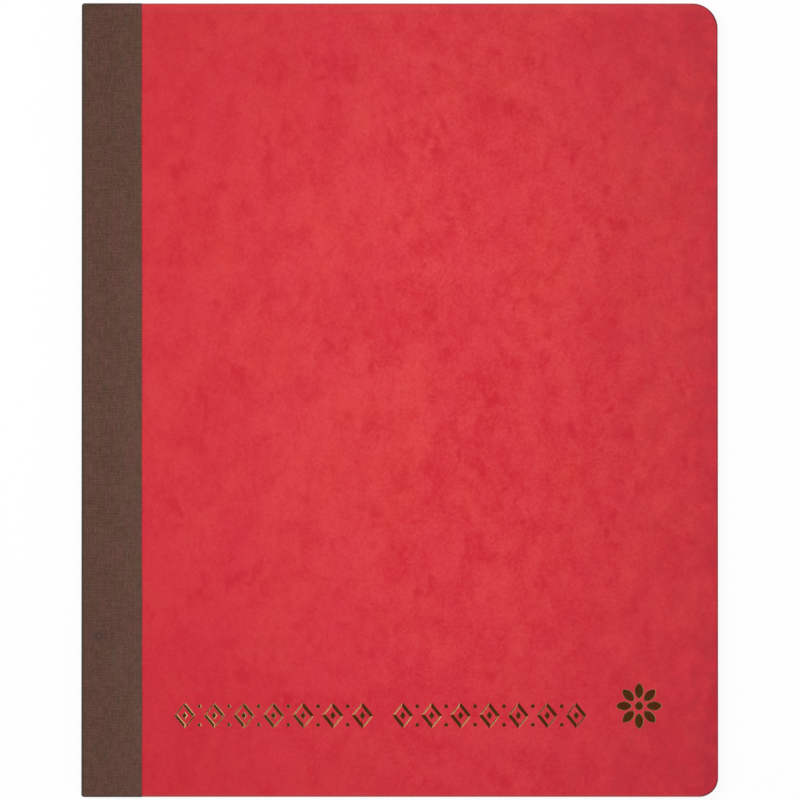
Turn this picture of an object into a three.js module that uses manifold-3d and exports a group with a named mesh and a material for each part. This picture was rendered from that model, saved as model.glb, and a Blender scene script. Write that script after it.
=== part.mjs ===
// An income and expense ledger: five sewn sections of ruled leaves, bound square at the
// back in pressboard covers with a strip of book cloth round the spine.
//
// Millimetres. Inside the ledger, x is the distance from the outer face of the spine, y
// runs from the tail to the head with 0 at mid-height, and z is the height above the
// surface that the closed ledger lies on. The origin of the whole is on that surface,
// under the middle of the covers.

import * as THREE from "three";
import { mergeVertices } from "three/addons/utils/BufferGeometryUtils.js";
import Module from "manifold-3d";

const wasm = await Module();
wasm.setup();

// Format of the closed ledger. The corners at the fore-edge are cut round by hand, so
// the head's and the tail's differ a little.
const coverHeight = 250;
const coverWidth = 200.5;
const headCornerRadius = 8;
const tailCornerRadius = 6;
const cornerSegments = 4;

// Make-up of the book block
const sectionCount = 5;
const leavesPerSection = 8;

// Thickness of each material
const clothThickness = 0.3;
const boardThickness = 0.5;
const endpaperThickness = 0.12;
const leafThickness = 0.095;
const liningThickness = 0.2;

// Gaps: the glue line between pasted layers, the air between leaves, the play of a loose
// cover and the crease along which the spine opens
const glueLine = 0.02;
const leafGap = 0.015;
const coverPlay = 0.05;
const spineCrease = 0.1;

// The cloth laps this far onto each cover, counted from the spine face. The flaps, the
// boards and the endpapers start a little way from it, so that the covers can turn.
const clothLap = 19;
const flapSetback = 0.4;
const boardSetback = 0.45;
const endpaperSetback = 0.55;

// Sewing: a thread runs in the fold of each section and shows in sawn kerfs. The two
// outer kerfs hold the kettle stitches, where it passes on to the next section.
const threadDiameter = 0.3;
const threadSides = 8;
const threadPlay = 0.05;
const slotPlay = 0.02;
const kettleInset = 15;
const kerfCount = 6;
const kerfWidth = 3;
const stitchSteps = 6;
const turnSteps = 8;
const foldLip = 0.2;
const foldSegments = 5;
const turningClearance = 0.05;

// Heights of the back cover's layers, from the outside in. The front cover's mirror them.
const boardLevel = clothThickness + glueLine;
const pastedownLevel = boardLevel + boardThickness + glueLine;
const flyleafLevel = pastedownLevel + endpaperThickness + coverPlay;
const blockLevel = flyleafLevel + endpaperThickness + leafGap;

// The block and the whole
const leafPitch = leafThickness + leafGap;
const leafCount = sectionCount * leavesPerSection;
const blockHeight = leafCount * leafPitch - leafGap;
const ledgerThickness = 2 * blockLevel + blockHeight;
const middle = ledgerThickness / 2;
const openingSection = Math.ceil(sectionCount / 2);
const sectionPitch = leavesPerSection * leafPitch;

// Distances from the spine face, through cloth and lining to the folds and the leaves.
// The leaves start beyond the circle that the middle section's fold fills as it opens.
const liningStart = clothThickness + glueLine;
const foldStart = liningStart + liningThickness + glueLine;
const foldRadius = (sectionPitch - leafGap) / 2;
const foldCentre = foldStart + foldRadius;
const threadRadius = threadDiameter / 2;
const slotRadius = threadRadius + slotPlay;
const kerfEnd = foldCentre + threadRadius + threadPlay;
const foldEnd = kerfEnd + foldLip;
const leafStart = Math.hypot(foldEnd, foldRadius) + turningClearance;

function finish(color, roughness) {
  return new THREE.MeshStandardMaterial({ color, roughness, metalness: 0 });
}

const pressboard = finish(0xd43a43, 0.45);
const bookCloth = finish(0x604539, 0.85);
const endpaper = finish(0xefe9da, 0.9);
const ledgerPaper = finish(0xf5f2e6, 0.9);
const mull = finish(0xded5c0, 0.95);
const linenThread = finish(0xf4f1ea, 0.8);

function piece(name, geometry, material, level = 0) {
  const mesh = new THREE.Mesh(geometry, material);
  mesh.name = name;
  mesh.position.z = level;
  return mesh;
}

// A flat rectangle of the ledger's full height, from one distance to another off the
// spine face
function strip(start, end, thickness) {
  const half = coverHeight / 2;
  const outline = new THREE.Shape();
  outline.moveTo(start, -half);
  outline.lineTo(end, -half);
  outline.lineTo(end, half);
  outline.lineTo(start, half);
  outline.closePath();
  return new THREE.ExtrudeGeometry(outline, { depth: thickness, bevelEnabled: false });
}

// A sheet that reaches the fore-edge, where its corners are cut round
function trimmedSheet(start, thickness) {
  const half = coverHeight / 2;
  const quarter = Math.PI / 2;
  const outline = new THREE.Shape();
  outline.moveTo(start, half);
  outline.lineTo(start, -half);
  outline.absarc(coverWidth - tailCornerRadius, tailCornerRadius - half, tailCornerRadius, -quarter, 0, false);
  outline.absarc(coverWidth - headCornerRadius, half - headCornerRadius, headCornerRadius, 0, quarter, false);
  outline.closePath();
  const settings = { depth: thickness, bevelEnabled: false, curveSegments: cornerSegments };
  return new THREE.ExtrudeGeometry(outline, settings);
}

// Turns an outline drawn across the spine, with its own y upwards, into a solid as long
// as the ledger is high
function alongSpine(outline) {
  const settings = { depth: coverHeight, bevelEnabled: false, curveSegments: foldSegments };
  const geometry = new THREE.ExtrudeGeometry(outline, settings);
  geometry.rotateX(Math.PI / 2);
  geometry.translate(0, coverHeight / 2, 0);
  return geometry;
}

// A wall that stands on the spine, between two heights
function spineWall(start, thickness, low, high) {
  const outline = new THREE.Shape();
  outline.moveTo(start, low);
  outline.lineTo(start + thickness, low);
  outline.lineTo(start + thickness, high);
  outline.lineTo(start, high);
  outline.closePath();
  return alongSpine(outline);
}

function solidOf(geometry) {
  const bare = geometry.clone();
  bare.deleteAttribute("normal");
  bare.deleteAttribute("uv");
  const merged = mergeVertices(bare);
  const vertProperties = new Float32Array(merged.attributes.position.array);
  const triVerts = new Uint32Array(merged.index.array);
  return new wasm.Manifold(new wasm.Mesh({ numProp: 3, vertProperties, triVerts }));
}

function geometryOf(solid) {
  const mesh = solid.getMesh();
  const geometry = new THREE.BufferGeometry();
  geometry.setAttribute("position", new THREE.BufferAttribute(mesh.vertProperties, 3));
  geometry.setIndex(new THREE.BufferAttribute(mesh.triVerts, 1));
  geometry.computeVertexNormals();
  return geometry;
}

// Places of the kerfs, from the tail's kettle stitch to the head's
const kerfPlaces = Array.from({ length: kerfCount }, (_, index) => {
  const reach = coverHeight / 2 - kettleInset;
  return -reach + (2 * reach * index) / (kerfCount - 1);
});

// Height of a section's middle. Section 1 is the first from the front.
function sectionLevel(section) {
  return blockLevel + blockHeight - (section - 1) * sectionPitch - foldRadius;
}

function box(width, depth, height, x, y, z) {
  const geometry = new THREE.BoxGeometry(width, depth, height);
  geometry.translate(x, y, z);
  return solidOf(geometry);
}

// The folded back of one section: nested sheets round a slot for the thread, sawn through
// to that slot at each kerf
function sectionFold() {
  const quarter = Math.PI / 2;
  const outline = new THREE.Shape();
  outline.moveTo(foldEnd, slotRadius);
  outline.lineTo(foldEnd, foldRadius);
  outline.absarc(foldCentre, 0, foldRadius, quarter, 3 * quarter, false);
  outline.lineTo(foldEnd, -foldRadius);
  outline.lineTo(foldEnd, -slotRadius);
  outline.absarc(foldCentre, 0, slotRadius, 3 * quarter, quarter, true);
  outline.closePath();
  let solid = solidOf(alongSpine(outline));
  for (const place of kerfPlaces) {
    solid = solid.subtract(box(kerfEnd, kerfWidth, 3 * foldRadius, kerfEnd / 2, place, 0));
  }
  return solid;
}

// The half of a fold that lies above or below the section's middle. The section in the
// middle of the block opens there, so its halves are pieces of their own.
function halfFold(upwards) {
  const reach = 2 * foldRadius;
  const centre = (upwards ? -1 : 1) * (reach / 2 - leafGap / 2);
  return sectionFold().subtract(box(2 * foldEnd, 2 * coverHeight, reach, foldEnd, 0, centre));
}

// A line through points chosen one by one, so that a long straight stitch takes one step
// and a tight turn takes many
class Route extends THREE.Curve {
  constructor(points) {
    super();
    this.points = points;
  }

  getPoint(share, target = new THREE.Vector3()) {
    const place = share * (this.points.length - 1);
    const index = Math.min(Math.floor(place), this.points.length - 2);
    return target.lerpVectors(this.points[index], this.points[index + 1], place - index);
  }

  getPointAt(share, target) {
    return this.getPoint(share, target);
  }

  getTangentAt(share, target = new THREE.Vector3()) {
    const last = this.points.length - 1;
    const index = Math.round(share * last);
    const before = this.points[Math.max(index - 1, 0)];
    const here = this.points[index];
    const after = this.points[Math.min(index + 1, last)];
    const arriving = here.clone().sub(before).normalize();
    const leaving = after.clone().sub(here).normalize();
    return target.addVectors(arriving, leaving).normalize();
  }
}

// The thread's way along one section: in the slot, and bowed out to the spine in every
// kerf between the two kettle stitches
function stitchPoints(section, towardsHead) {
  const level = sectionLevel(section);
  const bow = foldRadius - threadRadius - threadPlay;
  const span = kerfWidth - threadDiameter;
  const points = [];
  kerfPlaces.forEach((place, index) => {
    if (index === 0 || index === kerfCount - 1) {
      points.push(new THREE.Vector3(foldCentre, place, level));
      return;
    }
    for (let step = 0; step <= stitchSteps; step++) {
      const share = step / stitchSteps;
      const out = bow * Math.sin(Math.PI * share) ** 2;
      points.push(new THREE.Vector3(foldCentre - out, place + span * (share - 0.5), level));
    }
  });
  return towardsHead ? points : points.reverse();
}

// The kettle stitch: half a turn from one section's slot down into the next one's
function kettlePoints(section, atTail) {
  const high = sectionLevel(section);
  const radius = sectionPitch / 2;
  const side = atTail ? -1 : 1;
  const place = atTail ? kerfPlaces[0] : kerfPlaces[kerfCount - 1];
  const points = [];
  for (let step = 1; step < turnSteps; step++) {
    const angle = (Math.PI * step) / turnSteps;
    const y = place + side * radius * Math.sin(angle);
    const z = high - radius + radius * Math.cos(angle);
    points.push(new THREE.Vector3(foldCentre, y, z));
  }
  return points;
}

// One length of thread through neighbouring sections, from the head of the first
function sewingThread(first, last) {
  const points = [];
  for (let section = first; section <= last; section++) {
    const towardsHead = (section - first) % 2 === 1;
    points.push(...stitchPoints(section, towardsHead));
    if (section < last) points.push(...kettlePoints(section, !towardsHead));
  }
  const ring = new THREE.Shape();
  for (let side = 0; side < threadSides; side++) {
    const angle = (2 * Math.PI * side) / threadSides;
    const x = threadRadius * Math.cos(angle);
    const y = threadRadius * Math.sin(angle);
    if (side === 0) ring.moveTo(x, y);
    else ring.lineTo(x, y);
  }
  ring.closePath();
  const settings = { steps: points.length - 1, extrudePath: new Route(points) };
  return new THREE.ExtrudeGeometry(ring, { ...settings, bevelEnabled: false });
}

// One cover: pressboard, the endpaper pasted inside it and the cloth's flap outside
function cover(side) {
  const level = (low, thickness) => (side === "front" ? ledgerThickness - low - thickness : low);
  const group = new THREE.Group();
  const flap = strip(flapSetback, clothLap, clothThickness);
  const board = trimmedSheet(boardSetback, boardThickness);
  const pastedown = trimmedSheet(endpaperSetback, endpaperThickness);
  group.add(piece(`${side}_cloth_flap`, flap, bookCloth, level(0, clothThickness)));
  group.add(piece(`${side}_cover_board`, board, pressboard, level(boardLevel, boardThickness)));
  group.add(piece(`${side}_pastedown`, pastedown, endpaper, level(pastedownLevel, endpaperThickness)));
  return group;
}

// One half of the block's back: cloth, lining, the free endpaper, and the folds of its
// sections with their thread
function blockHalf(side) {
  const front = side === "front";
  const low = front ? middle + spineCrease / 2 : 0;
  const high = front ? ledgerThickness : middle - spineCrease / 2;
  const liningLow = front ? low : flyleafLevel;
  const liningHigh = front ? ledgerThickness - flyleafLevel : high;
  const flyleafAt = front ? ledgerThickness - flyleafLevel - endpaperThickness : flyleafLevel;
  const word = front ? "upper" : "lower";
  const group = new THREE.Group();
  group.add(piece(`spine_cloth_${word}`, spineWall(0, clothThickness, low, high), bookCloth));
  const lining = spineWall(liningStart, liningThickness, liningLow, liningHigh);
  group.add(piece(`spine_lining_${word}`, lining, mull));
  const flyleaf = trimmedSheet(endpaperSetback, endpaperThickness);
  group.add(piece(`${side}_flyleaf`, flyleaf, endpaper, flyleafAt));
  return group;
}

// Folds and threads. One length of thread holds the sections down to the one that lies
// open, another the sections behind it.
function sewing() {
  const group = new THREE.Group();
  for (let section = 1; section <= sectionCount; section++) {
    const level = sectionLevel(section);
    const name = `section_${section}_fold`;
    if (section === openingSection) {
      group.add(piece(`${name}_front`, geometryOf(halfFold(true)), ledgerPaper, level));
      group.add(piece(`${name}_rear`, geometryOf(halfFold(false)), ledgerPaper, level));
    } else {
      group.add(piece(name, geometryOf(sectionFold()), ledgerPaper, level));
    }
  }
  const frontThread = sewingThread(1, openingSection);
  const rearThread = sewingThread(openingSection + 1, sectionCount);
  group.add(piece("sewing_thread_front", frontThread, linenThread));
  group.add(piece("sewing_thread_rear", rearThread, linenThread));
  return group;
}

// The ruled leaves, counted from the front
function leaves() {
  const group = new THREE.Group();
  for (let number = 1; number <= leafCount; number++) {
    const level = blockLevel + (leafCount - number) * leafPitch;
    const name = `leaf_${String(number).padStart(2, "0")}`;
    group.add(piece(name, trimmedSheet(leafStart, leafThickness), ledgerPaper, level));
  }
  return group;
}

const ledger = new THREE.Group();
ledger.add(cover("front"), cover("back"));
ledger.add(blockHalf("front"), blockHalf("back"));
ledger.add(sewing(), leaves());
ledger.position.x = -coverWidth / 2;

console.log(`ledger thickness ${ledgerThickness.toFixed(3)}, leaves from ${leafStart.toFixed(3)}`);

export default ledger;
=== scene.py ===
"""An income and expense ledger: pressboard covers, a cloth spine and ruled leaves.

Lengths are in metres. Names that end in _mm hold millimetres, and inside a material all
places and widths are in millimetres too.
"""

import math
import random

import bmesh
import bpy
import numpy as np
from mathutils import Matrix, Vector


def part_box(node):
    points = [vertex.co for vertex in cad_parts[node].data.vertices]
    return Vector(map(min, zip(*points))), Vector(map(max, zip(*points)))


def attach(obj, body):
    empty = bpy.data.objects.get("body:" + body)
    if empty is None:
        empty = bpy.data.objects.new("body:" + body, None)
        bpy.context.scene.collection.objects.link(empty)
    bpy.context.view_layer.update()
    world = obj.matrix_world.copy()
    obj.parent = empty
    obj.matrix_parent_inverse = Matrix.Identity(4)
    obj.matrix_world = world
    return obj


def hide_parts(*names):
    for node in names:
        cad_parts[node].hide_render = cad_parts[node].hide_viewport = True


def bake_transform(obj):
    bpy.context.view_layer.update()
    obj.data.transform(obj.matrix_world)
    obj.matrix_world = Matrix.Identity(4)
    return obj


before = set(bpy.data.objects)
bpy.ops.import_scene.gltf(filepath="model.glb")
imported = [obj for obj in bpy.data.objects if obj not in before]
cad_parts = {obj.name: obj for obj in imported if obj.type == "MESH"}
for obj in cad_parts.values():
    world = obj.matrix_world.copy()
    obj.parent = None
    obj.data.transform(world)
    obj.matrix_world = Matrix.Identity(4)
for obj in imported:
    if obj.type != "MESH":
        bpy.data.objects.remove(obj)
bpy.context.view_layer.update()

MM = 0.001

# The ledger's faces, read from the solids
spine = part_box("spine_cloth_upper")[0].x
fore_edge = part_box("front_cover_board")[1].x
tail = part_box("front_cover_board")[0].y
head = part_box("front_cover_board")[1].y
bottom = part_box("back_cloth_flap")[0].z
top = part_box("front_cloth_flap")[1].z
middle = (bottom + top) / 2
flap_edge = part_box("front_cloth_flap")[1].x
cloth_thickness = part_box("front_cloth_flap")[1].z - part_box("front_cloth_flap")[0].z

# Corner radii at the fore-edge, as in the solids
head_radius = 8 * MM
tail_radius = 6 * MM
corner_steps = 14

# The photograph: its scale, the lens that took it and the slight tilt of the camera
# towards the tail
photo_side = 800
pixels_per_metre = 3175.4
lens_mm = 100
sensor_mm = 36
camera_tilt = math.radians(0.27)
camera_shift = (0.08 * MM, -0.06 * MM)

# The front board's faint pressed line lies this far from the head
crease_from_head = 2.8 * MM

# Leaves: how far from the spine they bend, and how unevenly they were trimmed
leaf_count = 40
bend_start = 1.5 * MM
bend_end = 13 * MM
bend_steps = 18
trim_play = 0.12 * MM

# The spine's cloth keeps this far off the plane in which its two halves meet when the
# ledger lies fully open
opening_play = 0.005 * MM

# The floor lies a little lower than the closed ledger, so that a cover folded right
# round stays above it
floor_level = -1.2 * MM


def linear(red, green, blue):
    """A display colour from 0 to 255, as the linear colour that shaders take."""

    def channel(value):
        share = value / 255
        return share / 12.92 if share <= 0.04045 else ((share + 0.055) / 1.055) ** 2.4

    return (channel(red), channel(green), channel(blue), 1.0)


class Shader:
    """One material, with a short call for each kind of node."""

    def __init__(self, name):
        self.material = bpy.data.materials.new(name)
        self.material.use_nodes = True
        self.tree = self.material.node_tree
        self.tree.nodes.clear()
        self.output = self.node("ShaderNodeOutputMaterial")
        self.surface = self.node("ShaderNodeBsdfPrincipled")
        self.tree.links.new(self.surface.outputs[0], self.output.inputs["Surface"])

    def node(self, kind, **settings):
        made = self.tree.nodes.new(kind)
        for key, value in settings.items():
            setattr(made, key, value)
        return made

    def feed(self, socket, source):
        if isinstance(source, bpy.types.NodeSocket):
            self.tree.links.new(source, socket)
        else:
            socket.default_value = source

    def set(self, **values):
        for key, value in values.items():
            self.feed(self.surface.inputs[key.replace("_", " ")], value)

    def math(self, operation, first, second=0.0, clamp=False):
        made = self.node("ShaderNodeMath", operation=operation, use_clamp=clamp)
        self.feed(made.inputs[0], first)
        self.feed(made.inputs[1], second)
        return made.outputs[0]

    def plus(self, *values):
        total = values[0]
        for value in values[1:]:
            total = self.math("ADD", total, value)
        return total

    def minus(self, first, second):
        return self.math("SUBTRACT", first, second)

    def times(self, first, second):
        return self.math("MULTIPLY", first, second)

    def larger(self, first, second):
        return self.math("MAXIMUM", first, second)

    def smaller(self, first, second):
        return self.math("MINIMUM", first, second)

    def unsigned(self, value):
        return self.math("ABSOLUTE", value)

    def vector_math(self, operation, vector, other=None):
        made = self.node("ShaderNodeVectorMath", operation=operation)
        self.feed(made.inputs[0], vector)
        if other is not None:
            made.inputs[1].default_value = other
        return made

    def scaled(self, vector, factors):
        return self.vector_math("MULTIPLY", vector, factors).outputs[0]

    def shifted(self, vector, offset):
        return self.vector_math("ADD", vector, offset).outputs[0]

    def length(self, vector):
        return self.vector_math("LENGTH", vector).outputs["Value"]

    def object_mm(self):
        """Places on the piece, in millimetres."""
        place = self.node("ShaderNodeTexCoord").outputs["Object"]
        return self.scaled(place, (1000, 1000, 1000))

    def printed_mm(self):
        """Places on the sheet before it was bent or folded, in millimetres."""
        place = self.node("ShaderNodeUVMap", uv_map="print").outputs[0]
        return self.scaled(place, (1000, 1000, 0))

    def split(self, vector):
        made = self.node("ShaderNodeSeparateXYZ")
        self.feed(made.inputs[0], vector)
        return made.outputs[0], made.outputs[1], made.outputs[2]

    def joined(self, x, y, z=0.0):
        made = self.node("ShaderNodeCombineXYZ")
        self.feed(made.inputs[0], x)
        self.feed(made.inputs[1], y)
        self.feed(made.inputs[2], z)
        return made.outputs[0]

    def noise(self, vector, scale, detail=4.0, roughness=0.55, distortion=0.0):
        made = self.node("ShaderNodeTexNoise")
        self.feed(made.inputs["Vector"], vector)
        made.inputs["Scale"].default_value = scale
        made.inputs["Detail"].default_value = detail
        made.inputs["Roughness"].default_value = roughness
        made.inputs["Distortion"].default_value = distortion
        return made.outputs[0]

    def step(self, value, low, high, to_low=0.0, to_high=1.0):
        """to_low where value is low, to_high where it is high, and smooth between."""
        made = self.node("ShaderNodeMapRange", interpolation_type="SMOOTHSTEP")
        self.feed(made.inputs["Value"], value)
        made.inputs["From Min"].default_value = low
        made.inputs["From Max"].default_value = high
        made.inputs["To Min"].default_value = to_low
        made.inputs["To Max"].default_value = to_high
        return made.outputs["Result"]

    def line(self, value, place, width):
        """1 on a line across value at place, 0 beside it."""
        return self.math("LESS_THAN", self.unsigned(self.minus(value, place)), width / 2)

    def mix(self, share, first, second):
        made = self.node("ShaderNodeMix", data_type="RGBA")
        self.feed(made.inputs[0], share)
        self.feed(made.inputs[6], first)
        self.feed(made.inputs[7], second)
        return made.outputs[2]

    def painted(self, colour, *layers):
        """colour under layers, each a share and the display colour that it mixes on."""
        for share, tone in layers:
            colour = self.mix(share, colour, linear(*tone))
        return colour

    def bump(self, height, depth_mm, strength=1.0):
        made = self.node("ShaderNodeBump")
        self.feed(made.inputs["Height"], height)
        made.inputs["Distance"].default_value = depth_mm * MM
        made.inputs["Strength"].default_value = strength
        self.tree.links.new(made.outputs[0], self.surface.inputs["Normal"])


def cover_rim_shade(shader, place, x, y):
    """Painted shade along the rim, where the cut edge rounds away from the light: strongest round
    the corners, slight at head and tail.
    """
    upper = shader.math("GREATER_THAN", y, 0.0)
    radius_rise = (head_radius - tail_radius) / MM
    radius = shader.plus(shader.times(upper, radius_rise), tail_radius / MM)
    out_x = shader.plus(shader.minus(x, fore_edge / MM), radius)
    out_y = shader.plus(shader.minus(shader.unsigned(y), head / MM), radius)
    beyond = shader.joined(shader.larger(out_x, 0.0), shader.larger(out_y, 0.0))
    within = shader.smaller(shader.larger(out_x, out_y), 0.0)
    outside = shader.minus(shader.plus(shader.length(beyond), within), radius)
    ragged = shader.times(shader.noise(place, 0.8, 2.0), 0.25)
    rim = shader.step(shader.plus(outside, ragged), -0.62, -0.1, 0.0, 0.85)
    strength = shader.plus(
        shader.step(out_x, -0.5, 0.5, 0.15, 0.55),
        shader.step(shader.smaller(out_x, out_y), 0.0, 1.5, 0.0, 0.45),
    )
    return shader.times(rim, strength)


def felt(shader, place):
    """1 on fibres that lie at four angles, 0 between them."""
    drawn_out = (0.55, 4.2, 1.0)
    hairs = 0.0
    for index, angle in enumerate((12, 57, 101, 148)):
        turned = shader.node("ShaderNodeVectorRotate", rotation_type="Z_AXIS")
        shader.feed(turned.inputs["Vector"], shader.shifted(place, (13.0 * index, 0.0, 0.0)))
        turned.inputs["Angle"].default_value = math.radians(angle)
        strands = shader.noise(shader.scaled(turned.outputs[0], drawn_out), 1.0, 2.0, 0.6, 0.4)
        hairs = shader.larger(hairs, shader.step(strands, 0.56, 0.74))
    return hairs


def pressboard(name, crease_mm=None):
    """Glazed red pressboard: soft crimson blotches in a paler pulp, and a felt of fibres.

    crease_mm is the height of a faint pressed line across the board.
    """
    shader = Shader(name)
    place = shader.object_mm()
    x, y, _ = shader.split(place)
    off_middle = shader.unsigned(y)
    upright = shader.scaled(place, (1.0, 0.72, 1.0))

    def marks(shift, scale, detail, distortion=0.0, roughness=0.5):
        return shader.noise(shader.shifted(upright, shift), scale, detail, roughness, distortion)

    clouds = marks((5.0, 0.0, 0.0), 0.045, 3.0)
    blotches = marks((31.0, 7.0, 0.0), 0.15, 3.0, 0.3)
    dabs = marks((3.0, 57.0, 0.0), 0.38, 2.0, 0.2)
    spots = marks((11.0, 19.0, 40.0), 0.11, 2.0, 0.2)
    patches = marks((71.0, 23.0, 0.0), 0.2, 4.0, 0.3, 0.6)
    hue = marks((43.0, 5.0, 0.0), 0.07, 5.0, 0.2, 0.64)
    flecks = shader.noise(place, 1.15, 3.0, 0.6)
    pale = shader.noise(shader.shifted(place, (4.0, 2.0, 9.0)), 1.2, 3.0, 0.55)
    hairs = felt(shader, place)

    grouped = shader.plus(blotches, shader.step(clouds, 0.3, 0.7, -0.09, 0.09))
    shade = shader.plus(
        shader.step(grouped, 0.34, 0.7, 0.0, 0.54),
        shader.step(dabs, 0.42, 0.74, 0.0, 0.35),
        shader.step(flecks, 0.3, 0.7, 0.0, 0.38),
    )
    shade = shader.math("ADD", shade, shader.times(hairs, -0.22), clamp=True)
    deep = shader.times(shader.step(spots, 0.54, 0.7), shader.step(dabs, 0.4, 0.62))

    # The red drifts between warm and cool, and is cooler towards the cloth and the tail.
    # It is also deeper towards the cloth, which is painted shade
    warm = shader.step(hue, 0.46, 0.68, 0.0, 0.23)
    cool = shader.plus(
        shader.step(hue, 0.54, 0.32, 0.0, 0.2),
        shader.step(y, -15.0, -85.0, 0.0, 0.16),
        shader.step(x, 8.0, -22.0, 0.0, 0.07),
    )
    cloth_side_shade = shader.plus(
        shader.step(x, 8.0, -22.0, 0.0, 0.09), shader.step(x, -10.0, -84.0, 0.0, 0.25)
    )

    # Painted shade, where the light falls off: the board is darker towards the fore-edge, head
    # and tail, in patches
    falloff_shade = shader.plus(
        shader.step(x, 30.0, 104.0, 0.0, 0.38),
        shader.step(x, 90.0, 101.0, 0.0, 0.2),
        shader.step(off_middle, 50.0, 126.0, 0.0, 0.2),
    )
    falloff_shade = shader.times(falloff_shade, shader.step(patches, 0.32, 0.68, 0.55, 1.4))
    scuffed = shader.step(shader.minus(head / MM, off_middle), 0.2, 1.3, 0.36, 0.0)
    colour = shader.painted(
        shader.mix(shade, linear(218, 52, 61), linear(204, 18, 37)),
        (shader.step(pale, 0.36, 0.7, 0.01, 0.22), (224, 92, 98)),
        (shader.times(deep, 0.72), (199, 12, 38)),
        (warm, (221, 75, 58)),
        (cool, (210, 30, 63)),
        (cloth_side_shade, (183, 14, 33)),
        (falloff_shade, (185, 39, 54)),
        (scuffed, (160, 84, 84)),
        (cover_rim_shade(shader, place, x, y), (104, 40, 50)),
    )
    if crease_mm is not None:
        # Painted shade in the pressed line, fading towards the fore-edge. The strip from it to
        # the head is a little lighter
        off_crease = shader.unsigned(shader.minus(y, crease_mm))
        crease_shade = shader.step(off_crease, 0.1, 0.5, 0.24, 0.0)
        worn = shader.step(x, 20.0, 84.0, 1.0, 0.15)
        above = shader.step(y, crease_mm, crease_mm + 0.6, 0.0, 0.18)
        colour = shader.painted(
            colour, (above, (224, 62, 64)), (shader.times(crease_shade, worn), (160, 66, 68))
        )
    shader.set(Base_Color=colour)
    shader.set(Roughness=shader.step(clouds, 0.3, 0.7, 0.36, 0.43))
    shader.set(Specular_IOR_Level=0.29)
    shader.bump(shader.plus(hairs, shader.times(flecks, 1.2)), 0.012, 0.5)
    return shader.material


def gold_foil():
    """Hot-stamped foil: bright gold on its walls as painted highlight, darker and redder where
    flat as painted reflection.
    """
    shader = Shader("gold foil")
    place = shader.object_mm()
    patches = shader.noise(place, 0.9, 4.0, 0.6)
    grain = shader.noise(place, 9.0, 3.0, 0.6)
    flat_patches = shader.step(shader.noise(place, 0.3, 3.0, 0.6), 0.4, 0.6)
    upright = shader.split(shader.node("ShaderNodeTexCoord").outputs["Normal"])[2]
    # Painted light by facing: sideways walls take a paler gold for a painted highlight, and flat
    # foil a darker, redder tone for a painted reflection of the red board
    shine = shader.step(patches, 0.35, 0.7)
    walls = shader.mix(shine, linear(228, 190, 132), linear(204, 160, 100))
    flat = shader.mix(flat_patches, linear(204, 84, 42), linear(186, 118, 50))
    tone = shader.mix(shader.step(upright, 0.9, 0.99, 0.0, 0.85), walls, flat)
    shader.set(Base_Color=tone, Roughness=shader.step(patches, 0.3, 0.7, 0.16, 0.28))
    shader.set(Metallic=1.0)
    shader.bump(grain, 0.006, 0.5)
    return shader.material


def weave(shader, place, across, up):
    """Plain weave: the height of its threads, and a tone that changes along each one."""
    warp_mm, weft_mm = 0.66, 0.46
    wander = 1.6
    per_thread, per_mm = 0.71, 0.3
    drift = shader.noise(shader.scaled(place, (0.5, 0.12, 1.0)), 0.6, 2.0)
    sag = shader.noise(shader.scaled(place, (0.12, 0.5, 1.0)), 0.6, 2.0)
    warp_count = shader.plus(shader.math("DIVIDE", across, warp_mm), shader.times(drift, wander))
    weft_count = shader.plus(shader.math("DIVIDE", up, weft_mm), shader.times(sag, wander))
    warp = shader.unsigned(shader.math("SINE", shader.times(warp_count, math.pi)))
    weft = shader.unsigned(shader.math("SINE", shader.times(weft_count, math.pi)))
    warp_number = shader.math("FLOOR", warp_count)
    weft_number = shader.math("FLOOR", weft_count)
    parity = shader.math("FRACT", shader.times(shader.plus(warp_number, weft_number), 0.5))
    over = shader.math("LESS_THAN", parity, 0.25)
    under = shader.minus(1.0, over)

    warp_place = shader.joined(warp_number, shader.times(up, per_mm))
    weft_place = shader.joined(shader.times(across, per_mm), weft_number, 9.0)
    warp_tone = shader.noise(shader.scaled(warp_place, (per_thread, 1.0, 1.0)), 1.0, 2.0, 0.6)
    weft_tone = shader.noise(shader.scaled(weft_place, (1.0, per_thread, 1.0)), 1.0, 2.0, 0.6)
    height = shader.plus(shader.times(warp, over), shader.times(weft, under))
    tone = shader.plus(shader.times(warp_tone, over), shader.times(weft_tone, under))
    return height, tone


def knotted(shader, colour, across, up):
    """colour with one small slub in it, a paler knot in a ring and a smear of painted shade, and
    its height.
    """
    centre_x, centre_y = 5.5, -74.4
    squash = 1.25
    off_x = shader.minus(across, centre_x)
    off_y = shader.times(shader.minus(up, centre_y), squash)
    off = shader.length(shader.joined(off_x, off_y))
    slub = shader.step(off, 0.3, 0.75, 1.0, 0.0)
    # The ring and the smear round the raised knot are painted shade
    ring = shader.minus(shader.step(off, 1.0, 1.5, 1.0, 0.0), slub)
    colour = shader.painted(
        colour,
        (shader.step(off, 1.2, 4.6, 0.3, 0.0), (74, 56, 52)),
        (shader.times(ring, 0.45), (58, 44, 38)),
        (shader.times(slub, 0.4), (108, 90, 78)),
    )
    return colour, slub


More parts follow.
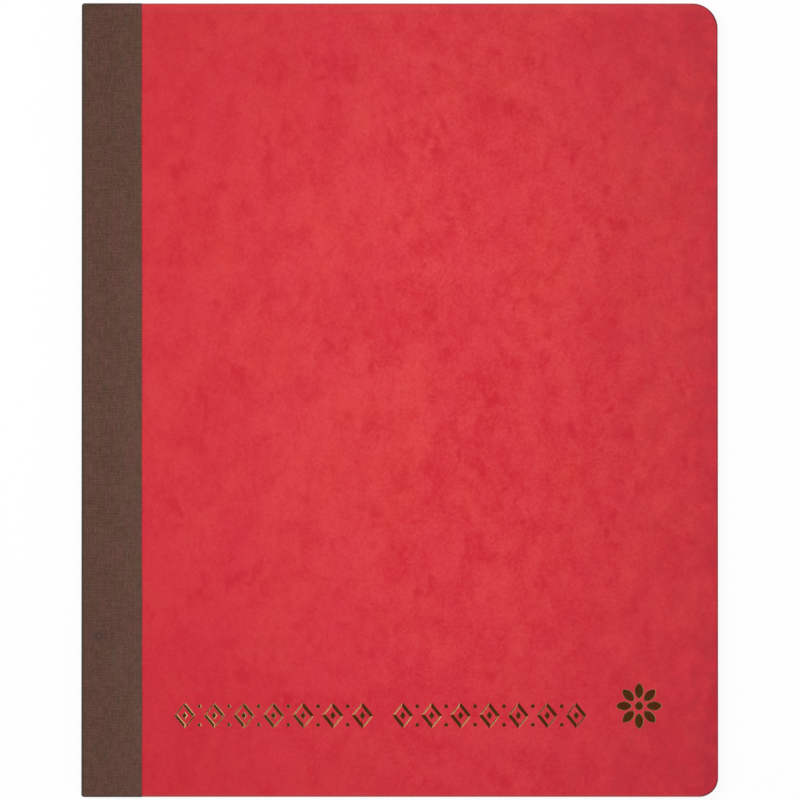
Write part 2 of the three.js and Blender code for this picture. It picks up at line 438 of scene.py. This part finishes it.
def book_cloth():
    """Brown linen book cloth in plain weave, with uneven threads and one small slub."""
    shader = Shader("book cloth")
    place = shader.printed_mm()
    across, up, _ = shader.split(place)
    height, tone = weave(shader, place, across, up)
    lint = shader.noise(place, 3.1, 2.0, 0.7)
    worn = shader.noise(place, 0.09, 4.0, 0.55)
    # Painted light and shade: raised threads are lighter than the dips between them, and the
    # cloth is darker towards the spine and towards the head, where the light falls off
    light = shader.plus(
        shader.times(height, 0.42),
        shader.step(tone, 0.3, 0.7, 0.0, 0.34),
        shader.step(lint, 0.3, 0.7, 0.0, 0.24),
        shader.step(across, 8.0, 19.0, -0.03, 0.05),
        shader.step(up, 10.0, 125.0, 0.0, -0.05),
    )
    light = shader.math("ADD", light, shader.step(worn, 0.35, 0.7, -0.03, 0.04), clamp=True)
    russet = shader.mix(light, linear(61, 33, 19), linear(115, 81, 73))
    olive = shader.mix(light, linear(57, 35, 19), linear(110, 82, 70))
    streaks = shader.noise(shader.scaled(place, (1.0, 0.3, 1.0)), 0.22, 3.0, 0.6)
    colour = shader.mix(shader.step(streaks, 0.38, 0.62), russet, olive)
    colour, slub = knotted(shader, colour, across, up)

    head_mm = head / MM
    # Painted shade along the head, tail and spine edges, where the cloth turns away from the
    # light
    end_rim_shade = shader.step(shader.unsigned(up), head_mm - 0.75, head_mm - 0.2, 0.0, 0.75)
    spine_rim_shade = shader.step(across, 0.5, 1.15, 0.75, 0.0)
    colour = shader.painted(colour, (shader.larger(end_rim_shade, spine_rim_shade), (66, 60, 52)))
    shader.set(Base_Color=colour, Roughness=0.9, Specular_IOR_Level=0.15)
    shader.set(Sheen_Weight=0.08, Sheen_Roughness=0.5)
    shader.bump(shader.plus(shader.times(height, 0.8), slub), 0.06, 0.8)
    return shader.material


def paper_grain(shader, place, light, dark):
    """The tone of paper: faint clouds of pulp and single fibres."""
    pulp = shader.noise(place, 0.3, 5.0, 0.6)
    fibres = shader.noise(shader.scaled(place, (0.8, 4.0, 1.0)), 1.6, 3.0, 0.7)
    share = shader.plus(
        shader.step(pulp, 0.3, 0.7, 0.0, 0.55), shader.step(fibres, 0.5, 0.8, 0.0, 0.45)
    )
    shader.bump(shader.plus(pulp, fibres), 0.015, 0.35)
    return shader.mix(share, light, dark)


def endpaper():
    shader = Shader("endpaper")
    tone = paper_grain(shader, shader.printed_mm(), linear(243, 238, 224), linear(231, 224, 207))
    shader.set(Base_Color=tone, Roughness=0.85, Specular_IOR_Level=0.25)
    return shader.material


def ruled_paper():
    """Account paper: pale blue feint rules, and red columns for date, entry and sums."""
    page_mm = (fore_edge - spine) / MM
    feint_pitch = 7.0
    feint_width = 0.18
    first_feint = -112.5
    header = 97.5
    header_rules = (header, header + 1.2, header + 12.0)
    columns = (20.0, 22.0, 96.0, 97.2, 121.0, 145.0, 146.2, 170.0)
    column_width = 0.22
    foot = tail / MM + 8.0
    pulp_apart = 7.3
    tones_apart = 5.7

    shader = Shader("ruled paper")
    across, up, _ = shader.split(shader.printed_mm())
    number = shader.split(shader.node("ShaderNodeUVMap", uv_map="leaf").outputs[0])[0]
    place = shader.joined(across, up, shader.times(number, pulp_apart))
    tone = paper_grain(shader, place, linear(247, 244, 233), linear(238, 233, 217))
    own = shader.noise(shader.joined(shader.times(number, tones_apart), 0.0), 1.0, 1.0)
    tone = shader.painted(tone, (shader.step(own, 0.35, 0.65, 0.0, 0.5), (232, 226, 208)))
    off_feint = shader.math("PINGPONG", shader.minus(up, first_feint), feint_pitch / 2)
    feint = shader.math("LESS_THAN", off_feint, feint_width / 2)
    below_header = shader.math("LESS_THAN", up, header - feint_pitch / 2)
    feint = shader.times(feint, below_header)
    red = 0.0
    for from_fore_edge in columns:
        red = shader.plus(red, shader.line(across, page_mm - from_fore_edge, column_width))
    red = shader.times(red, shader.math("GREATER_THAN", up, foot))
    for height in header_rules:
        red = shader.plus(red, shader.line(up, height, column_width))
    red = shader.times(shader.smaller(red, 1.0), 0.8)
    colour = shader.painted(
        tone, (shader.times(feint, 0.75), (136, 170, 204)), (red, (206, 92, 96))
    )
    shader.set(Base_Color=colour, Roughness=0.82, Specular_IOR_Level=0.25)
    return shader.material


def folded_paper():
    """The backs of the sections, where the gaps between the nested sheets show as fine lines of
    painted shade.
    """
    sheet_pitch = 0.11
    shader = Shader("folded paper")
    place = shader.object_mm()
    tone = paper_grain(shader, place, linear(244, 240, 228), linear(230, 223, 205))
    off_sheet = shader.math("PINGPONG", shader.split(place)[2], sheet_pitch / 2)
    # Painted shade in the gaps between the nested sheets
    gap_shade = shader.math("LESS_THAN", off_sheet, sheet_pitch * 0.09)
    colour = shader.painted(tone, (shader.times(gap_shade, 0.5), (160, 150, 130)))
    shader.set(Base_Color=colour, Roughness=0.9, Specular_IOR_Level=0.2)
    return shader.material


def mull():
    """Open cotton mull, stiff with glue."""
    thread_mm = 0.6
    shader = Shader("mull")
    _, along, up = shader.split(shader.object_mm())
    threads = shader.larger(
        shader.math("PINGPONG", along, thread_mm / 2), shader.math("PINGPONG", up, thread_mm / 2)
    )
    share = shader.step(threads, thread_mm * 0.2, thread_mm * 0.4)
    colour = shader.mix(share, linear(188, 170, 132), linear(232, 222, 196))
    shader.set(Base_Color=colour, Roughness=0.9, Specular_IOR_Level=0.2)
    shader.bump(share, 0.05, 0.6)
    return shader.material


def linen_thread():
    """Waxed linen thread with a slanting twist."""
    shader = Shader("linen thread")
    x, y, z = shader.split(shader.object_mm())
    slant = shader.plus(shader.times(y, 12.0), shader.times(z, 20.0), shader.times(x, 20.0))
    ply = shader.unsigned(shader.math("SINE", slant))
    # The grooves of the twist are darker: painted shade
    colour = shader.mix(ply, linear(205, 197, 178), linear(246, 242, 230))
    shader.set(Base_Color=colour, Roughness=0.6, Specular_IOR_Level=0.35)
    shader.bump(ply, 0.03, 0.7)
    return shader.material


def add_piece(name, vertices, faces, material, slot, prints=None, crisp=35, leaf=None):
    """A mesh piece. prints gives each vertex its place on the flat sheet, for the UV map.

    Edges sharper than crisp degrees stay sharp. leaf is the leaf's number, which its
    paper takes from a UV map of its own.
    """
    mesh = bpy.data.meshes.new(name)
    mesh.from_pydata([tuple(v) for v in vertices], [], faces)
    mesh.validate()
    facing = bmesh.new()
    facing.from_mesh(mesh)
    bmesh.ops.recalc_face_normals(facing, faces=facing.faces)
    facing.to_mesh(mesh)
    facing.free()
    if prints is not None:
        layer = mesh.uv_layers.new(name="print")
        for loop in mesh.loops:
            layer.data[loop.index].uv = prints[loop.vertex_index]
    if leaf is not None:
        numbers = mesh.uv_layers.new(name="leaf")
        for place in numbers.data:
            place.uv = (leaf, 0.0)
    mesh.shade_smooth()
    mesh.set_sharp_from_angle(angle=math.radians(crisp))
    mesh.materials.append(material)
    piece = bpy.data.objects.new(name, mesh)
    bpy.context.scene.collection.objects.link(piece)
    return piece


def arc(centre_x, centre_y, radius, start, end, steps):
    """Points on a circle, from one angle to another, in degrees."""
    angles = [math.radians(start + (end - start) * i / steps) for i in range(steps + 1)]
    return [(centre_x + radius * math.cos(a), centre_y + radius * math.sin(a)) for a in angles]


def cover_outline(start, inset=0.0):
    """The cover's outline, anticlockwise from above, drawn in by inset on every side."""
    left, right = start + inset, fore_edge - inset
    low, high = tail + inset, head - inset
    tail_centre = (right - tail_radius + inset, low + tail_radius - inset)
    head_centre = (right - head_radius + inset, high - head_radius + inset)
    tail_corner = arc(*tail_centre, tail_radius - inset, -90, 0, corner_steps)
    head_corner = arc(*head_centre, head_radius - inset, 0, 90, corner_steps)
    return [(left, high), (left, low)] + tail_corner + head_corner


def stacked(loops):
    """A closed solid through loops of (outline, height), each with as many points."""
    count = len(loops[0][0])
    vertices = [(x, y, z) for outline, z in loops for x, y in outline]
    faces = [tuple(range(count - 1, -1, -1))]
    for level in range(len(loops) - 1):
        base = level * count
        for i in range(count):
            j = (i + 1) % count
            faces.append((base + i, base + j, base + count + j, base + count + i))
    last = (len(loops) - 1) * count
    faces.append(tuple(range(last, last + count)))
    return vertices, faces


def board(side, material):
    """A pressboard cover, with edges that the guillotine left just off square."""
    low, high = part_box(f"{side}_cover_board")
    eased, rise = 0.16 * MM, 0.06 * MM
    turned = [(eased, 0.0), (0.35 * eased, 0.3 * rise), (0.0, rise)]
    levels = [(inset, low.z + up) for inset, up in turned]
    levels += [(inset, high.z - up) for inset, up in turned[::-1]]
    loops = [(cover_outline(low.x, inset), level) for inset, level in levels]
    vertices, faces = stacked(loops)
    piece = add_piece(f"{side}_board", vertices, faces, material, "pressboard", crisp=30)
    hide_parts(f"{side}_cover_board")
    return piece


def drawn_in(loop, distance):
    """A convex anticlockwise loop moved inwards by distance."""
    moved = []
    count = len(loop)
    for i in range(count):
        before, here, after = (Vector(loop[(i + k) % count]) for k in (-1, 0, 1))
        arriving, leaving = (here - before).normalized(), (after - here).normalized()
        first = Vector((-arriving.y, arriving.x))
        second = Vector((-leaving.y, leaving.x))
        moved.append(tuple(here + distance * (first + second) / (1 + first.dot(second))))
    return moved


def lozenge(centre, width, height):
    x, y = centre
    return [(x - width / 2, y), (x, y - height / 2), (x + width / 2, y), (x, y + height / 2)]


def petal(centre, length, width, angle, steps=8):
    """Two arcs that meet in points, as long as length, turned from upright by angle."""
    radius = (length * length + width * width) / (4 * width)
    half = math.degrees(math.asin(length / 2 / radius))
    right = arc(width / 2 - radius, 0, radius, -half, half, steps)
    left = arc(radius - width / 2, 0, radius, 180 - half, 180 + half, steps)
    turn = math.radians(angle)
    cosine, sine = math.cos(turn), math.sin(turn)
    x0, y0 = centre
    points = right[:-1] + left[:-1]
    return [(x0 + x * cosine - y * sine, y0 + x * sine + y * cosine) for x, y in points]


def bead(centre, radius, sides=14):
    return arc(centre[0], centre[1], radius, 0, 360 - 360 / sides, sides - 1)


def ring_strokes(corners, strokes):
    """The sides of a ring as separate strokes, each with its own width and mitred ends."""
    mitre_gap = 0.09 * MM
    lines = []
    count = len(corners)
    for i, stroke in enumerate(strokes):
        start, end = Vector(corners[i]), Vector(corners[(i + 1) % count])
        way = (end - start).normalized()
        lines.append((start + stroke * Vector((-way.y, way.x)), way))
    inner = []
    for i in range(count):
        (first, first_way), (second, second_way) = lines[i - 1], lines[i]
        cross = first_way.x * second_way.y - first_way.y * second_way.x
        apart = second - first
        reach = (apart.x * second_way.y - apart.y * second_way.x) / cross
        inner.append(tuple(first + reach * first_way))
    sides = []
    for i in range(count):
        j = (i + 1) % count
        sides.append(drawn_in([corners[i], corners[j], inner[j], inner[i]], mitre_gap))
    return sides


def frieze(left, right, centre_y, height):
    """A chain of lozenges drawn with broad and fine strokes, and beads between them."""
    count = 7
    gap_share = 0.24
    broad, fine = 1.25 * MM, 0.62 * MM
    bead_radius = 0.62 * MM
    pitch = (right - left) / (count - gap_share)
    width = (1 - gap_share) * pitch
    core_width, core_height = 0.26 * width, 0.3 * height
    shapes = []
    for i in range(count):
        x = left + width / 2 + i * pitch
        shapes += ring_strokes(lozenge((x, centre_y), width, height), (broad, fine, broad, fine))
        shapes.append(lozenge((x, centre_y), core_width, core_height))
        if i < count - 1:
            for rise in (-0.34, 0.34):
                shapes.append(bead((x + pitch / 2, centre_y + rise * height), bead_radius))
    return shapes


def rosette(centre, radius):
    """Eight petals round a bead."""
    petals = 8
    bead_radius = 0.19 * radius
    inner = 0.3 * radius
    width = 0.4 * radius
    length = radius - inner
    reach = inner + length / 2
    shapes = [bead(centre, bead_radius)]
    for i in range(petals):
        angle = 360 * i / petals
        turn = math.radians(angle)
        place = (centre[0] - reach * math.sin(turn), centre[1] + reach * math.cos(turn))
        shapes.append(petal(place, length, width, angle))
    return shapes


def narrowest(shape):
    """The width of a convex shape across its closest pair of sides, or 1 mm if wider."""
    widths = []
    for i, start in enumerate(shape):
        way = (Vector(shape[(i + 1) % len(shape)]) - Vector(start)).normalized()
        across = Vector((-way.y, way.x))
        widths.append(max(across.dot(Vector(point) - Vector(start)) for point in shape))
    return min(min(widths), 1.0 * MM)


def stamp_foil(board_piece, material):
    """Presses the ornament into the front board and lines it with foil.

    The stamp pressed harder at its spine side, so the walls catch more light there.
    """
    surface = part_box("front_cover_board")[1].z
    friezes = ((-71.2 * MM, -8.2 * MM), (-2.5 * MM, 59.0 * MM))
    frieze_middle, frieze_height = -99.4 * MM, 8.6 * MM
    rosette_centre, rosette_radius = (75.4 * MM, -96.4 * MM), 7.3 * MM
    deep, shallow, petal_depth = 0.13 * MM, 0.05 * MM, 0.075 * MM
    wall_share, petal_wall = 0.3, 0.17 * MM
    slack = 0.012 * MM
    foil = 0.008 * MM
    first, last = friezes[0][0], friezes[1][1]
    lozenges = []
    for left, right in friezes:
        lozenges += frieze(left, right, frieze_middle, frieze_height)
    petals = rosette(rosette_centre, rosette_radius)

    wells, linings = ([], []), ([], [])
    for shape in lozenges + petals:
        along = (shape[0][0] - first) / (last - first)
        depth = petal_depth if shape in petals else deep + (shallow - deep) * along
        wall = petal_wall if shape in petals else wall_share * narrowest(shape)
        flat = drawn_in(shape, wall)
        wide = drawn_in(shape, -slack)
        well = [
            (drawn_in(flat, -slack), surface - depth - 2 * foil),
            (wide, surface),
            (wide, surface + depth),
        ]
        lining = [
            (drawn_in(flat, -slack / 2), surface - depth - foil),
            (drawn_in(shape, -slack / 2), surface),
            (shape, surface + foil / 2),
            (flat, surface - depth),
        ]
        for loops, (vertices, faces) in ((well, wells), (lining, linings)):
            made_vertices, made_faces = stacked(loops)
            base = len(vertices)
            vertices += made_vertices
            faces += [tuple(base + i for i in face) for face in made_faces]

    cutter_mesh = bpy.data.meshes.new("ornament cutter")
    cutter_mesh.from_pydata(wells[0], [], wells[1])
    cutter = bpy.data.objects.new("ornament cutter", cutter_mesh)
    bpy.context.scene.collection.objects.link(cutter)
    cut = board_piece.modifiers.new("ornament", "BOOLEAN")
    cut.operation = "DIFFERENCE"
    cut.solver = "EXACT"
    cut.object = cutter
    bpy.context.view_layer.update()
    evaluated = board_piece.evaluated_get(bpy.context.evaluated_depsgraph_get())
    pressed = bpy.data.meshes.new_from_object(evaluated)
    board_piece.modifiers.clear()
    board_piece.data = pressed
    bpy.data.objects.remove(cutter)
    piece = add_piece("foil_stamping", *linings, material, "gold_foil", crisp=20)
    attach(piece, "front_cover")


def sheet_columns(start, end, bends=()):
    """Places along a sheet: at its bends and close together round its corners."""
    plain_steps = 6
    rounds = []
    for radius in (head_radius, tail_radius):
        rounds += [x for x, _ in arc(end - radius, 0, radius, 90, 0, corner_steps)]
    first = max([start, *bends])
    spread = np.linspace(first, end - head_radius, plain_steps + 1)[1:-1]
    return sorted({round(float(x), 8) for x in [start, *bends, *spread, *rounds]})


def sheet_shape(columns, low, high, play=(0.0, 0.0, 0.0), opening=None):
    """Vertices, printed places and faces of a trimmed sheet, four vertices to a column.

    play is how far the sheet was trimmed short at its fore-edge, tail and head. Its
    upper side is printed from the spine out and its lower side from the fore-edge in, so
    that a column of sums lies on the same side of the page on both. opening leaves out
    the "low" or "high" face between the first two columns.
    """
    end, low_y, high_y = columns[-1], tail + play[1], head - play[2]
    vertices, prints = [], []
    for x in columns:
        into_tail = max(0.0, x - (end - tail_radius))
        into_head = max(0.0, x - (end - head_radius))
        y_low = low_y + tail_radius - math.sqrt(max(0.0, tail_radius**2 - into_tail**2))
        y_high = high_y - head_radius + math.sqrt(max(0.0, head_radius**2 - into_head**2))
        for z, across in ((low, x - spine), (high, fore_edge - x)):
            for y in (y_low, y_high):
                vertices.append((x, y, z))
                prints.append((across, y))
    faces = [(0, 2, 3, 1)]
    for i in range(len(columns) - 1):
        a, b = 4 * i, 4 * (i + 1)
        if i or opening != "low":
            faces.append((a, a + 1, b + 1, b))
        if i or opening != "high":
            faces.append((a + 2, b + 2, b + 3, a + 3))
        faces.append((a, b, b + 2, a + 2))
        faces.append((a + 1, a + 3, b + 3, b + 1))
    last = 4 * (len(columns) - 1)
    faces.append((last, last + 1, last + 3, last + 2))
    return vertices, prints, faces


def endpapers(material):
    """At each end of the block one folded sheet: half is pasted to the cover, and half
    is a free flyleaf. The fold between them turns as the cover opens."""
    fold_steps = 10
    fold_start = spine + 0.54 * MM
    fold_end = spine + 0.6 * MM
    fold_corners = ((fold_start, tail), (fold_end, tail), (fold_end, head), (fold_start, head))
    columns = sheet_columns(fold_start, fore_edge)
    columns.insert(1, round(fold_end, 8))
    for side, block in (("front", "front_block"), ("back", "root")):
        pastedown = tuple(v.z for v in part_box(f"{side}_pastedown"))
        flyleaf = tuple(v.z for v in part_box(f"{side}_flyleaf"))
        lower, upper = (flyleaf, pastedown) if side == "front" else (pastedown, flyleaf)
        vertices, prints, faces = sheet_shape(columns, *lower, opening="high")
        more, more_prints, more_faces = sheet_shape(columns, *upper, opening="low")
        base = len(vertices)
        vertices, prints = vertices + more, prints + more_prints
        faces += [tuple(base + i for i in face) for face in more_faces]
        rings = [(2, 6, 7, 3)]
        for step in range(1, fold_steps):
            z = lower[1] + (upper[0] - lower[1]) * step / fold_steps
            rings.append(tuple(range(len(vertices), len(vertices) + 4)))
            for x, y in fold_corners:
                vertices.append((x, y, z))
                prints.append((x - spine, y))
        rings.append((base, base + 4, base + 5, base + 1))
        for below, above in zip(rings, rings[1:]):
            for i in range(4):
                j = (i + 1) % 4
                faces.append((below[i], below[j], above[j], above[i]))
        piece = add_piece(f"{side}_endpaper", vertices, faces, material, "endpaper", prints)
        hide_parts(f"{side}_pastedown", f"{side}_flyleaf")
        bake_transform(piece)


def middle_fold(material):
    """The fold of the section that the ledger opens at. Its two halves part from the
    fore-edge side up to a thin web of paper at the spine, which turns between them."""
    low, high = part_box("section_3_fold_rear")
    radius, reach = middle - low.z, high.x
    web_outer = low.x
    web_inner = web_outer + 0.02 * MM
    centre = web_outer + radius
    slot, slit = 0.17 * MM, 0.0075 * MM
    kerf_end = centre + 0.2 * MM
    kerf_half = 1.5 * MM
    kerfs = [kerf_mm * MM for kerf_mm in range(-110, 111, 44)]
    outside = [(x, middle + z) for x, z in arc(centre, 0, radius, 90, 270, 16)]
    lean = math.degrees(math.asin(slit / slot))
    lower_slot = [(x, middle + z) for x, z in arc(centre, 0, slot, 270, 180 + lean, 6)]
    upper_slot = [(x, middle - z + middle) for x, z in lower_slot[::-1]]
    steps = [slit * i / 4 for i in range(-4, 5)]
    web = [(web_inner, middle + z) for z in steps]
    waist = [(web_outer, middle + z) for z in steps[::-1]]
    turn = len(outside) // 2
    outline = [(reach, middle + slot), (reach, middle + radius)]
    outline += outside[:turn] + waist + outside[turn + 1 :]
    outline += [(reach, middle - radius), (reach, middle - slot)]
    outline += lower_slot + web + upper_slot
    lips = []
    for way in (1, -1):
        corners = [(kerf_end, slot), (reach, slot), (reach, radius), (kerf_end, radius)]
        lips.append([(x, middle + way * z) for x, z in corners[::way]])
    stops = [tail] + [y for kerf in kerfs for y in (kerf - kerf_half, kerf + kerf_half)] + [head]
    vertices, faces = [], []
    for number, (start, end) in enumerate(zip(stops, stops[1:])):
        for loop in lips if number % 2 else [outline]:
            base, count = len(vertices), len(loop)
            vertices += [(x, start, z) for x, z in loop] + [(x, end, z) for x, z in loop]
            faces.append(tuple(base + i for i in range(count)))
            faces.append(tuple(base + count + i for i in range(count - 1, -1, -1)))
            for i in range(count):
                j = (i + 1) % count
                faces.append((base + i, base + count + i, base + count + j, base + j))
    piece = add_piece("section_3_middle_fold", vertices, faces, material, "ledger_paper")
    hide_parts("section_3_fold_front", "section_3_fold_rear")
    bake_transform(piece)


def leaves(material):
    """The ruled leaves. Each is held at its section's fold and turns beyond it."""
    fold_air = 0.01 * MM
    chance = random.Random(12)
    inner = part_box("section_1_fold")[1].x + fold_air
    bent = bend_end - bend_start
    bends = [spine + bend_start + bent * i / bend_steps for i in range(bend_steps + 1)]
    for number in range(1, leaf_count + 1):
        node = f"leaf_{number:02d}"
        low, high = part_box(node)
        play = tuple(trim_play * chance.random() for _ in range(3))
        columns = sheet_columns(inner, fore_edge - play[0], bends)
        vertices, prints, faces = sheet_shape(columns, low.z, high.z, play)
        piece = add_piece(
            f"{node}_sheet", vertices, faces, material, "ledger_paper", prints, leaf=number
        )
        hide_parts(node)
        held_by = "front_block" if number <= leaf_count // 2 else "root"
        if number in (1, leaf_count):
            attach(piece, held_by)
        else:
            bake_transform(piece)


def cloth_profile(points, thickness):
    """The outer and inner lines of a cloth along points of its outer face, with the
    distance along it. The inner line lies to the left of the way along, or to its
    right where thickness is negative."""
    outer, inner, along = [], [], [0.0]
    for i, here in enumerate(points):
        before = points[max(i - 1, 0)]
        after = points[min(i + 1, len(points) - 1)]
        way = (Vector(after) - Vector(before)).normalized()
        outer.append(Vector(here))
        inner.append(Vector(here) + thickness * Vector((-way.y, way.x)))
        if i:
            along.append(along[-1] + (Vector(here) - Vector(before)).length)
    return outer, inner, along


def cloth_piece(name, points, first_distance, material, edge=None, thickness=cloth_thickness):
    """A strip of cloth as high as the ledger, along points (x, z) of its outer face.

    edge gives how far the cut edge at the first point wanders at each height. The points
    next to it wander less and less, up to edge_points of them. At head and tail the strip
    is rounded off towards the spine.
    """
    rows = 126
    edge_points = 3
    rounded = 1.0 * MM
    outer, inner, along = cloth_profile(points, thickness)
    vertices, prints, faces = [], [], []
    count = len(points)
    for y in np.linspace(tail, head, rows):
        shift = edge(y) if edge else 0.0
        for line in (outer, inner):
            for i, place in enumerate(line):
                wander = shift * max(0.0, 1.0 - i / edge_points)
                into = max(0.0, rounded - (place.x - spine))
                drawn = 1 - (rounded - math.sqrt(max(0.0, rounded**2 - into**2))) / head
                vertices.append((place.x + wander, y * drawn, place.y))
                prints.append((first_distance - along[i] + wander, y * drawn))
    ring = 2 * count
    for row in range(rows - 1):
        a, b = row * ring, (row + 1) * ring
        for i in range(count - 1):
            faces.append((a + i, b + i, b + i + 1, a + i + 1))
            faces.append((a + count + i, a + count + i + 1, b + count + i + 1, b + count + i))
        faces.append((a, a + count, b + count, b))
        faces.append((a + count - 1, b + count - 1, b + ring - 1, a + ring - 1))
    for row, turned in ((0, False), (rows - 1, True)):
        a = row * ring
        for i in range(count - 1):
            face = (a + i, a + i + 1, a + count + i + 1, a + count + i)
            faces.append(face[::-1] if turned else face)
    return add_piece(name, vertices, faces, material, "book_cloth", prints, crisp=50)


def cloth(material):
    """The cloth strip round the spine, in three pieces that meet where it lies flat.

    The flaps take in the turns at the corners and turned_in of the spine's face.
    """
    turned_in = 1.6 * MM
    corner = 0.34 * MM
    eased = 0.08 * MM
    corner_arc_steps, flap_points, wall_steps, crossing_steps = 8, 10, 8, 24
    wall_x = spine + opening_play
    turn = arc(0, 0, corner, 90, 0, corner_arc_steps)
    round_corner = [(wall_x + corner - x, top - corner + z) for x, z in turn]
    flap = [(x, top) for x in np.linspace(flap_edge - eased, spine + 1.0 * MM, flap_points)]
    flap = [(flap_edge, top - eased)] + flap + [(spine + x * MM, top) for x in (0.8, 0.6, 0.45)]
    wall_height = turned_in - corner
    wall = [
        (wall_x, top - corner - wall_height * i / wall_steps) for i in range(1, wall_steps + 1)
    ]
    front = flap + round_corner + wall
    back = [(x, bottom + top - z) for x, z in front]
    open_height = top - bottom - 2 * turned_in
    crossing = [
        (wall_x, top - turned_in - open_height * i / crossing_steps)
        for i in range(crossing_steps + 1)
    ]

    def wave(y, size_mm, length_mm, start=0.0):
        return size_mm * math.sin(y / MM / length_mm + start)

    def front_edge(y):
        return (wave(y, 0.05, 17) + wave(y, 0.04, 5.3, 1) - 0.12 * y / head) * MM

    def back_edge(y):
        return wave(y, 0.07, 21, 2) * MM

    reach = flap_edge - spine
    first = cloth_piece("cloth_front_flap", front, reach, material, front_edge)
    middle_piece = cloth_piece("cloth_spine", crossing, -turned_in, material)
    last = cloth_piece("cloth_back_flap", back, reach, material, back_edge, -cloth_thickness)
    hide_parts("front_cloth_flap")
    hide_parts("spine_cloth_upper", "spine_cloth_lower")
    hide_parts("back_cloth_flap")
    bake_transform(first)
    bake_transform(middle_piece)
    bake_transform(last)


def dress_nodes(prefix, material):
    """The solids whose shape is right keep it and get their material."""
    for name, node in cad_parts.items():
        if name.startswith(prefix):
            node.data.materials.clear()
            node.data.materials.append(material)


def add_floor():
    """A white floor, which mostly glows as white as the surround and keeps the shadow."""
    side = 4.0
    paleness = 0.93
    glow_share = 0.88
    mesh = bpy.data.meshes.new("floor")
    corners = [(x * side, y * side, floor_level) for x, y in ((-1, -1), (1, -1), (1, 1), (-1, 1))]
    mesh.from_pydata(corners, [], [(0, 1, 2, 3)])
    floor = bpy.data.objects.new("floor", mesh)
    bpy.context.scene.collection.objects.link(floor)
    shader = Shader("floor")
    shader.set(Base_Color=(paleness, paleness, paleness, 1.0), Roughness=0.9)
    shader.set(Specular_IOR_Level=0.0)
    glow = shader.node("ShaderNodeEmission")
    lift = shader.node("ShaderNodeMixShader")
    path = shader.node("ShaderNodeLightPath")
    mirrored = shader.larger(path.outputs["Is Glossy Ray"], path.outputs["Is Transmission Ray"])
    seen = shader.larger(path.outputs["Is Camera Ray"], mirrored)
    shader.feed(lift.inputs[0], shader.times(seen, glow_share))
    shader.tree.links.new(shader.surface.outputs[0], lift.inputs[1])
    shader.tree.links.new(glow.outputs[0], lift.inputs[2])
    shader.tree.links.new(lift.outputs[0], shader.output.inputs["Surface"])
    mesh.materials.append(shader.material)


def add_world():
    """A white surround. In gloss it is dark overhead, and brightest low at the upper left."""
    ambient = 0.6
    ceiling = 0.12
    glare = 1.5
    overhead_way = (0.23, -0.12, 1.0)
    glare_up_to, ceiling_from = 0.35, 0.66
    world = bpy.data.worlds.new("surround")
    bpy.context.scene.world = world
    world.use_nodes = True
    world.cycles.sampling_method = "NONE"
    tree = world.node_tree
    tree.nodes.clear()
    output = tree.nodes.new("ShaderNodeOutputWorld")
    background = tree.nodes.new("ShaderNodeBackground")
    path = tree.nodes.new("ShaderNodeLightPath")
    coordinates = tree.nodes.new("ShaderNodeTexCoord")
    away = tree.nodes.new("ShaderNodeVectorMath")
    away.operation = "DOT_PRODUCT"
    away.inputs[1].default_value = overhead_way
    overhead = tree.nodes.new("ShaderNodeMapRange")
    overhead.interpolation_type = "SMOOTHSTEP"
    overhead.inputs["From Min"].default_value = glare_up_to
    overhead.inputs["From Max"].default_value = ceiling_from
    overhead.inputs["To Min"].default_value = glare
    overhead.inputs["To Max"].default_value = ceiling
    tree.links.new(coordinates.outputs["Generated"], away.inputs[0])
    tree.links.new(away.outputs["Value"], overhead.inputs["Value"])

    def chosen(share, first, second):
        made = tree.nodes.new("ShaderNodeMix")
        tree.links.new(share, made.inputs[0])
        for socket, source in ((made.inputs[2], first), (made.inputs[3], second)):
            if isinstance(source, float):
                socket.default_value = source
            else:
                tree.links.new(source, socket)
        return made.outputs[0]

    glossy = chosen(path.outputs["Is Glossy Ray"], ambient, overhead.outputs["Result"])
    clear = chosen(path.outputs["Is Transmission Ray"], glossy, 1.0)
    strength = chosen(path.outputs["Is Camera Ray"], clear, 1.0)
    tree.links.new(strength, background.inputs["Strength"])
    background.inputs["Color"].default_value = (1.0, 1.0, 1.0, 1.0)
    tree.links.new(background.outputs[0], output.inputs[0])


def add_lamp(name, place, aim, side, watts):
    data = bpy.data.lights.new(name, "AREA")
    data.shape = "SQUARE"
    data.size = side
    data.energy = watts
    lamp = bpy.data.objects.new(name, data)
    lamp.location = place
    lamp.rotation_euler = (Vector(aim) - Vector(place)).to_track_quat("-Z", "Y").to_euler()
    lamp.visible_glossy = False
    bpy.context.scene.collection.objects.link(lamp)


def add_camera():
    """Straight above the front cover, at the photograph's scale."""
    data = bpy.data.cameras.new("camera")
    data.type = "PERSP"
    data.sensor_width = sensor_mm
    data.lens = lens_mm
    field = photo_side / pixels_per_metre
    distance = field * lens_mm / sensor_mm
    camera = bpy.data.objects.new("camera", data)
    offset = Vector((0, -math.sin(camera_tilt), math.cos(camera_tilt))) * distance
    camera.location = Vector((*camera_shift, top)) + offset
    camera.rotation_euler = (camera_tilt, 0, 0)
    bpy.context.scene.collection.objects.link(camera)
    bpy.context.scene.camera = camera


add_camera()
add_world()
add_lamp("key", place=(-0.1, 0.05, 0.5), aim=(-0.03, 0.01, 0.0), side=0.3, watts=1.25)
add_lamp("fill", place=(0.3, 0.5, 1.2), aim=(0.0, 0.0, 0.0), side=0.9, watts=1.2)
add_floor()
bpy.context.scene.view_settings.view_transform = "Standard"

front_board = board("front", pressboard("front pressboard", (head - crease_from_head) / MM))
stamp_foil(front_board, gold_foil())
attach(front_board, "front_cover")
back_board = board("back", pressboard("back pressboard"))
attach(back_board, "back_cover")
endpapers(endpaper())
leaves(ruled_paper())
cloth(book_cloth())

folded = folded_paper()
middle_fold(folded)
dress_nodes("section_", folded)
dress_nodes("spine_lining", mull())
dress_nodes("sewing_thread", linen_thread())
